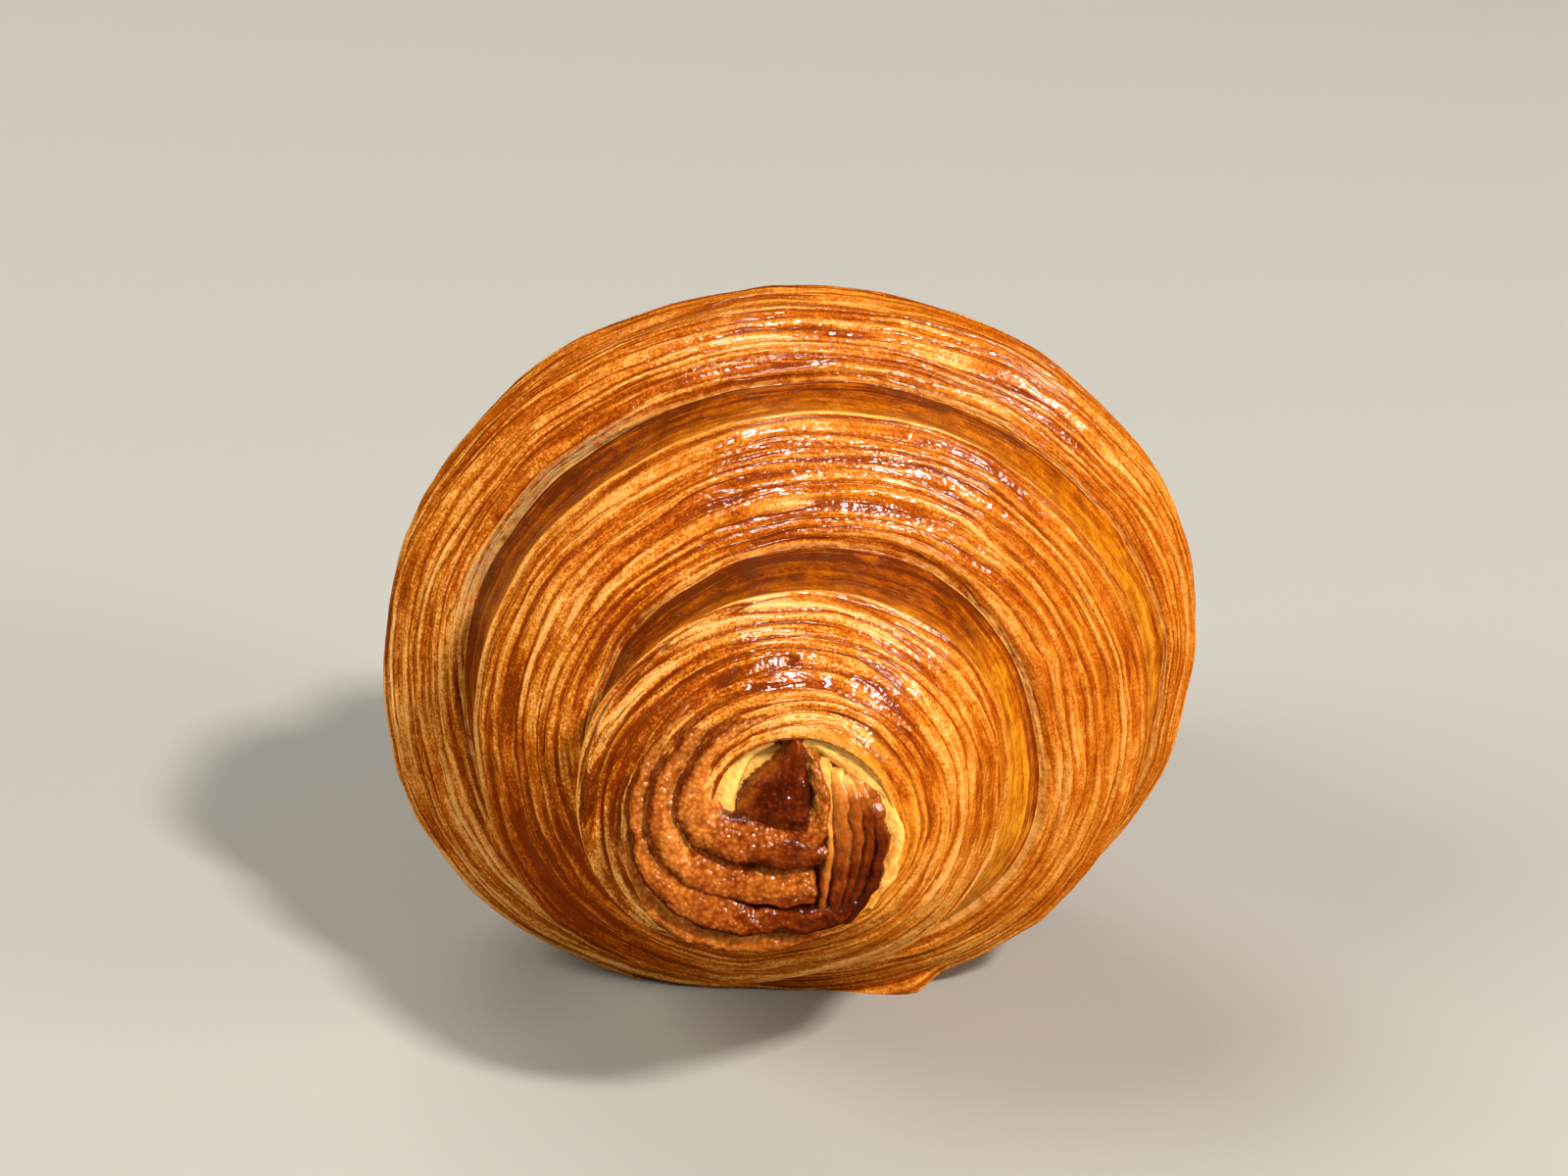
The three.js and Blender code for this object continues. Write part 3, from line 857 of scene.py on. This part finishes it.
def curl_strip(right, up, lean, blisters, stations):
    """How far one strip stands out at each place, its tone with painted shade and light, and where on the
    strip that is.
    """
    path_right, path_up, half_width, out, brown = smooth_path(stations)
    ahead_right = np.gradient(path_right)
    ahead_up = np.gradient(path_up)
    length = np.hypot(ahead_right, ahead_up)
    travelled = np.cumsum(length)
    ahead_right = ahead_right / length
    ahead_up = ahead_up / length
    nearest = np.argmin((right[:, None] - path_right) ** 2 + (up[:, None] - path_up) ** 2, axis=1)
    off_right = right - path_right[nearest]
    off_up = up - path_up[nearest]
    across = (ahead_up[nearest] * off_right - ahead_right[nearest] * off_up) / half_width[nearest]
    along = ahead_right[nearest] * off_right + ahead_up[nearest] * off_up
    past_end = ((nearest == 0) & (along < 0)) | ((nearest == PATH_SAMPLES - 1) & (along > 0))
    rounding = np.minimum(half_width[nearest], CURL_ROUNDING)
    shoulder = np.clip(across, -CURL_SHOULDER, CURL_SHOULDER)
    rounded = np.where(across > 0, 1, TUCKED_ROUNDING) * rounding
    height = out[nearest] + lean * shoulder - rounded * (1 - np.sqrt(1 - shoulder ** 2))
    beyond = np.abs(across - shoulder) * half_width[nearest] + np.where(past_end, np.abs(along), 0)
    height = np.maximum(height - beyond * CURL_SIDE_SLOPE, CURL_BACK)
    # The sides darken with painted shade where they round down into the crevices, and the inner side is made
    # paler with painted light.
    side = np.interp(np.abs(across), SHADED_SIDES, (0, 1)) * blisters * rounding / CURL_ROUNDING
    side = side * np.interp(brown[nearest], LIGHT_TO_SHADE_BROWNS, (0, 1))
    lip = np.interp(across, LIP_BROWNS, (0, 1)) * lean
    lit_side = np.clip(-across - LIT_SIDE_STARTS, 0, 1) * blisters * np.interp(brown[nearest], LIGHT_TO_SHADE_BROWNS, (1, 0))
    tone = brown[nearest] + (side + lip) * SIDE_SHADE_AND_LIP_BROWN - lit_side * LIT_SIDE_PALER
    return height, tone, travelled[nearest] + along, across * half_width[nearest]


def uneven_shift(right, up, seed):
    """Small wavering shifts to the right, up and out, so that no strip is drawn too neatly."""
    shifts = np.zeros((3, len(right)))
    for scale, amounts in WAVERS:
        for way, amount in enumerate(amounts):
            layer = seed + way * WAYS_APART
            spots = zip(right / scale, up / scale)
            shifts[way] += amount * np.array([mathutils.noise.noise((x, y, layer)) for x, y in spots])
    return shifts


def curl_relief(right, up, seed):
    """The strips laid over each other: how far the curl stands out, and what its material reads."""
    out = np.interp(np.hypot(right, up), CURL_FLOOR_RADII, (CURL_FLOOR, CURL_BACK))
    marks = {name: np.zeros(right.shape) for name in ("brown", "blistered", "along", "across")}
    marks["brown"] = np.interp(up, CURL_FLOOR_HEIGHTS, CURL_FLOOR_BROWN)
    aside, upward, outward = uneven_shift(right, up, seed)
    for index, (lean, blisters, stations) in enumerate(CURL.values()):
        height, tone, along, across = curl_strip(right + aside, up + upward, lean, blisters, stations)
        height = height + outward * (1 + blisters)
        own = {"brown": tone, "blistered": blisters, "along": along + index * STRIP_APART, "across": across}
        above = height > out
        out = np.where(above, height, out)
        marks = {name: np.where(above, own[name], marks[name]) for name in marks}
    sunk = np.interp(np.hypot(right, up) / CURL_RADIUS, CURL_SINKS, (0, 1))
    return out + (CURL_BACK - out) * sunk, marks


def curl_faces(side):
    """Rings of faces round a fan in the middle, and one broad face at the back."""
    middle = CURL_RINGS * CURL_SECTORS
    rings = np.arange(middle).reshape(CURL_RINGS, CURL_SECTORS)
    turned = np.roll(rings, -1, axis=1)
    quads = np.stack([rings[:-1], rings[1:], turned[1:], turned[:-1]], axis=-1).reshape(-1, 4)
    fan = np.stack([np.full(CURL_SECTORS, middle), rings[0], turned[0]], axis=-1)
    faces = quads.tolist() + fan.tolist() + [rings[-1][::-1].tolist()]
    if side < 0:
        faces = [face[::-1] for face in faces]
    return faces


def curl_piece(name, side, seed, material):
    """The rolled-in corner of the dough: strips laid over each other, as one closed lump set in the eye."""
    radius = np.linspace(0, CURL_RADIUS, CURL_RINGS + 1)[1:]
    angle = np.linspace(0, FULL_TURN, CURL_SECTORS, endpoint=False)
    right = np.append(np.outer(radius, np.cos(angle)).ravel(), 0)
    up = np.append(np.outer(radius, np.sin(angle)).ravel(), 0)
    out, marks = curl_relief(right, up, seed)
    places = np.stack([right + CURL_MIDDLE[0], -(HALF_LENGTH + out) * side, up + CURL_MIDDLE[1]], axis=1)
    mesh = bpy.data.meshes.new(name)
    mesh.from_pydata((places * MM).tolist(), [], curl_faces(side))
    mesh.shade_smooth()
    for key, values in marks.items():
        mesh.attributes.new(key, "FLOAT", "POINT").data.foreach_set("value", values.astype(np.float32))
    mesh.materials.append(material)
    piece = bpy.data.objects.new(name, mesh)
    bpy.context.scene.collection.objects.link(piece)
    return piece


def attribute(net, name):
    """A value that a piece keeps."""
    return net.node("ShaderNodeAttribute", {"attribute_name": name}, output="Fac")


def baked_material(name, gloss, finish):
    """A crust: the finish gives its colour, roughness and fine height at a place in millimetres."""
    material = bpy.data.materials.new(name)
    material.use_nodes = True
    tree = material.node_tree
    net = Wire(tree)
    spot = net.node("ShaderNodeTexCoord", output="Object")
    spot = net.node("ShaderNodeVectorMath", {"operation": "SCALE"}, {0: spot, "Scale": 1 / MM})
    colour, rough, height = finish(net, spot)
    bump = net.node("ShaderNodeBump", inputs={"Strength": 1.0, "Distance": MM, "Height": height})
    shader = tree.nodes["Principled BSDF"]
    shader.inputs["Specular IOR Level"].default_value = gloss
    for socket, value in (("Base Color", colour), ("Roughness", rough), ("Normal", bump)):
        tree.links.new(value.socket, shader.inputs[socket])
    return material


def curl_finish(net, spot):
    """The curl's crust: blistered and orange on its broad strips, dark and glossy on its folds."""
    bubbles = {"Vector": spot, "Scale": BLISTERS_PER_MM, "Smoothness": BLISTER_BLEND}
    blister = 1 - net.node("ShaderNodeTexVoronoi", {"feature": "SMOOTH_F1"}, bubbles) * BLISTER_STEEPNESS
    blistered = attribute(net, "blistered")
    streak = drawn_out(net, "strand", attribute(net, "along"), attribute(net, "across"), 0)
    marks = {
        "mottle": net.noise(spot, *ALL_ROUND["curl mottle"]),
        "streak": streak * (1 - blistered * BLISTERS_HIDE_STREAKS),
        "dimple": net.noise(spot, *ALL_ROUND["curl dimple"]),
    }
    paler = blister * (blistered * BLISTERED_PALER + SMOOTH_PALER)
    tone = attribute(net, "brown") + added_up(marks, CURL_SHARES) - paler
    colour = net.node("ShaderNodeValToRGB", {"stops": CURL_COLOURS}, {0: tone})
    height = blister * (blistered * BLISTERED_HEIGHT + SMOOTH_HEIGHT) + added_up(marks, CURL_HEIGHTS)
    return colour, CURL_ROUGHNESS + blister * BLISTER_ROUGHNESS, height


def crust_finish(net, spot):
    """The roll's crust: striped on the cut edges, plain and browner on the faces, pale in the eye."""
    turn = attribute(net, "turn")
    face = attribute(net, "face")
    blotch = net.noise(spot, *ALL_ROUND["blotch"])
    cut, dry, cut_height = cut_edge_finish(net, turn, spot, blotch)
    skin, skin_height = face_finish(net, turn, face, spot, blotch)
    on_face = face.step(*FACE_STARTS) * (1 - turn.step(*RIM_FADES) * OUTER_FACES_STRIPED)
    colour = net.blend(cut, skin, on_face)
    colour = net.blend(colour, PIT_CREAM, attribute(net, "pit").step(*PIT_STARTS))
    rough = (GLAZE_ROUGHNESS + dry * DRY_ROUGHNESS).toward(FACE_ROUGHNESS, on_face)
    return colour, rough, cut_height.toward(skin_height, on_face)


def cut_edge_finish(net, turn, spot, blotch):
    """Colour, dryness and fine height of the sheets' edges: pale ones, glazed orange ones, dark gaps."""
    arc = attribute(net, "arc")
    seed = attribute(net, "seed")
    edge = attribute(net, "edge")
    sheet = attribute(net, "sheet")
    index = sheet.floor()
    part = sheet.fraction()
    browner = 1 - turn.step(*BROWNER_FADES)
    # How squarely a side faces the key light: away from it, stronger stripes and darker gaps are painted
    # raking light and shade.
    key_side = ((turn - KEY_SIDE) * FULL_TURN).cos() * 0.5 + 0.5
    marks = {name: drawn_out(net, name, arc, sheet, seed)
             for name in ("ragged", "streak", "broad", "dimple", "fine")}
    for name in ("grain", "bubble"):
        marks[name] = net.noise(spot, *ALL_ROUND[name])
    marks["own"] = sheet_tone(net, index, arc, seed)
    marks["lip"] = 1 - abs(part - LIP_MIDDLE).step(*LIP_FADES)
    contrast = EDGE_CONTRAST - key_side * KEY_SIDE_CONTRAST + browner * BROWNER_CONTRAST
    tone = (added_up(marks, EDGE_SHARES) - EDGE_AVERAGE) * contrast
    # The curve along the roll brings painted shade to the lower left and painted light to the left side.
    tone = tone + blotch * EDGE_BLOTCHES + along_roll(turn, EDGE_TONE_LIGHT_AND_SHADE) - EVEN_TONE + EDGE_MIDDLE_TONE
    colour = net.node("ShaderNodeValToRGB", {"stops": EDGE_COLOURS}, {0: tone})

    gap_width = drawn_out(net, "gap", arc, index, seed) * GAP_VARIES + browner * GAP_BROWNER + GAP_WIDTH
    from_gap = part.least(1 - part) + marks["ragged"] * GAP_RAGGED
    marks["gap"] = 1 - from_gap.step(0.0, gap_width.between(*GAP_LIMITS))
    dash = (drawn_out(net, "dash", arc, sheet, seed) + browner * DASH_BROWNER).step(*DASH_STARTS)
    colour = net.blend(colour, GAP_AND_SHADE_BROWN, marks["gap"] * (GAP_SHOWS - key_side * KEY_SIDE_GAPS))
    colour = net.blend(colour, BURNT_BROWN, dash * DASH_SHOWS)
    colour = edge_strips(net, colour, turn, edge, key_side, marks)
    return colour, tone.step(*DRY_TONES) * (1 - dash), added_up(marks, EDGE_HEIGHTS)


def edge_strips(net, colour, turn, edge, key_side, marks):
    """Strips along a cut edge: gold by the eye, flakes and cream at the crease, painted shade and gold at the
    rim.
    """
    ragged = marks["ragged"]
    streak = marks["streak"]
    eye = (1 - edge.step(*EYE_ACROSS)) * turn.within(EYE_STARTS, EYE_ENDS)
    flaky = (FLAKY_WIDTH - edge + ragged * FLAKY_RAGGED + streak * FLAKY_RAGGED).step(*FLAKY_BORDER)
    flaky = flaky * turn.within(FLAKY_STARTS, FLAKY_ENDS)
    tucked = (1 - edge.step(*TUCKED_ACROSS)) * turn.step(*TUCKED_STARTS)
    rimmed = 1 - turn.step(*RIM_FADES)
    groove = edge.within(GROOVE_SHADE_STARTS, GROOVE_SHADE_ENDS) * rimmed
    rim = edge.step(*RIM_SHADE) * rimmed
    strips = (
        # The tucked cream and the rim gold are partly painted highlights; the groove is painted shade.
        (EYE_GOLD, eye * (EYE_SHOWS + streak * EYE_STREAKS)),
        (FLAKY_CREAM, flaky * (FLAKY_SHOWS + marks["bubble"] + ragged)),
        (TUCKED_CREAM_AND_HIGHLIGHT, tucked * (TUCKED_SHOWS + key_side * KEY_SIDE_TUCKED + ragged + streak)),
        (GAP_AND_SHADE_BROWN, groove * (GROOVE_SHOWS + streak)),
        (RIM_GOLD_AND_HIGHLIGHT, rim * (RIM_SHOWS + streak * RIM_STREAKS + ragged * RIM_RAGGED)),
    )
    for strip_colour, share in strips:
        colour = net.blend(colour, strip_colour, share.between(0, 1))
    return colour


def face_finish(net, turn, face, spot, blotch):
    """Colour and fine height of the sheet's smooth outer face."""
    marks = {
        "lines": drawn_out(net, "lines", attribute(net, "arc"), face, turn),
        "mottle": net.noise(spot, *ALL_ROUND["face mottle"]),
        "blotch": blotch,
        "grain": net.noise(spot, *ALL_ROUND["face grain"]),
    }
    # The curve along the roll darkens the faces on the left side with painted shade; further in and at the
    # tucked side they darken towards the crease, partly browner baking and partly painted shade.
    brown = along_roll(turn, FACE_BROWN_AND_SHADE, longest=1.0) * (RIM_BROWN + face.step(*INNER_FACE) * INNER_BROWN_AND_SHADE)
    brown = brown + face.step(*TUCKED_FACE) * (TUCKED_BROWN_AND_SHADE + marks["lines"] * TUCKED_LINES)
    brown = brown + added_up(marks, FACE_SHARES) + FACE_LEAST_BROWN
    colour = net.node("ShaderNodeValToRGB", {"stops": FACE_COLOURS}, {0: brown})
    return colour, added_up(marks, FACE_HEIGHTS)


def plain_material(name, colour, roughness):
    """One matt colour."""
    material = bpy.data.materials.new(name)
    material.use_nodes = True
    shader = material.node_tree.nodes["Principled BSDF"]
    shader.inputs["Base Color"].default_value = colour
    shader.inputs["Roughness"].default_value = roughness
    shader.inputs["Specular IOR Level"].default_value = MATT
    return material


def add_camera():
    """The camera at the photograph's place, looking slightly down."""
    lens = bpy.data.cameras.new("view")
    lens.sensor_width = SENSOR
    lens.lens = FOCAL_PIXELS / IMAGE_WIDTH * SENSOR
    lens.clip_start = NEAREST_SEEN * MM
    view = bpy.data.objects.new("view", lens)
    view.location = [place * MM for place in CAMERA_PLACE]
    view.rotation_euler = (math.pi / 2 - CAMERA_DOWN, 0, 0)
    bpy.context.scene.collection.objects.link(view)
    bpy.context.scene.camera = view


def add_light(name, around, up, size, power, colour, shines, mirrored):
    """A soft square lamp that faces the croissant: it shines on it, shows as a highlight in it, or both."""
    lamp = bpy.data.lights.new(name, "AREA")
    lamp.size = size
    lamp.energy = power
    lamp.color = colour
    if not shines:
        lamp.cycles.max_bounces = 0
    holder = bpy.data.objects.new(name, lamp)
    holder.visible_diffuse = shines
    holder.visible_glossy = mirrored
    around = math.radians(around)
    up = math.radians(up)
    holder.location = (
        math.sin(around) * math.cos(up) * LAMP_DISTANCE,
        -math.cos(around) * math.cos(up) * LAMP_DISTANCE,
        math.sin(up) * LAMP_DISTANCE + AXIS_HEIGHT * MM,
    )
    holder.rotation_euler = (math.pi / 2 - up, 0, around)
    bpy.context.scene.collection.objects.link(holder)


def add_stage():
    """A pale floor under soft studio light."""
    mesh = bpy.data.meshes.new("floor")
    half = FLOOR_HALF
    corners = [(-half, -half, 0), (half, -half, 0), (half, half, 0), (-half, half, 0)]
    mesh.from_pydata(corners, [], [(0, 1, 2, 3)])
    mesh.materials.append(plain_material("pale floor", FLOOR_COLOUR, FLOOR_ROUGHNESS))
    floor = bpy.data.objects.new("floor", mesh)
    floor.visible_glossy = False
    bpy.context.scene.collection.objects.link(floor)
    world = bpy.data.worlds.new("studio")
    bpy.context.scene.world = world
    world.use_nodes = True
    back = world.node_tree.nodes["Background"]
    back.inputs["Color"].default_value = STUDIO_COLOUR
    back.inputs["Strength"].default_value = STUDIO_STRENGTH
    world.cycles_visibility.glossy = False
    for name, settings in LAMPS.items():
        add_light(name, *settings)
    bpy.context.scene.view_settings.view_transform = "Standard"


def main():
    """Makes the pieces, hangs them on the body in place of the imported croissant, and sets up the stage."""
    crust = baked_material("crust", EGG_WASH_GLOSS, crust_finish)
    smooth_crust = baked_material("smooth crust", FACE_GLOSS, crust_finish)
    curl_crust = baked_material("curl crust", EGG_WASH_GLOSS, curl_finish)
    tree = surface_tree()
    pieces = [
        rolled_half("front_half", tree, 1, FRONT_SEED, crust, smooth_crust),
        rolled_half("back_half", tree, -1, BACK_SEED, crust, smooth_crust),
        curl_piece("front_curl", 1, FRONT_CURL_SEED, curl_crust),
        curl_piece("back_curl", -1, BACK_CURL_SEED, curl_crust),
    ]
    for piece in pieces:
        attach(piece, "root")
        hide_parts("croissant")
    add_stage()
    add_camera()


main()
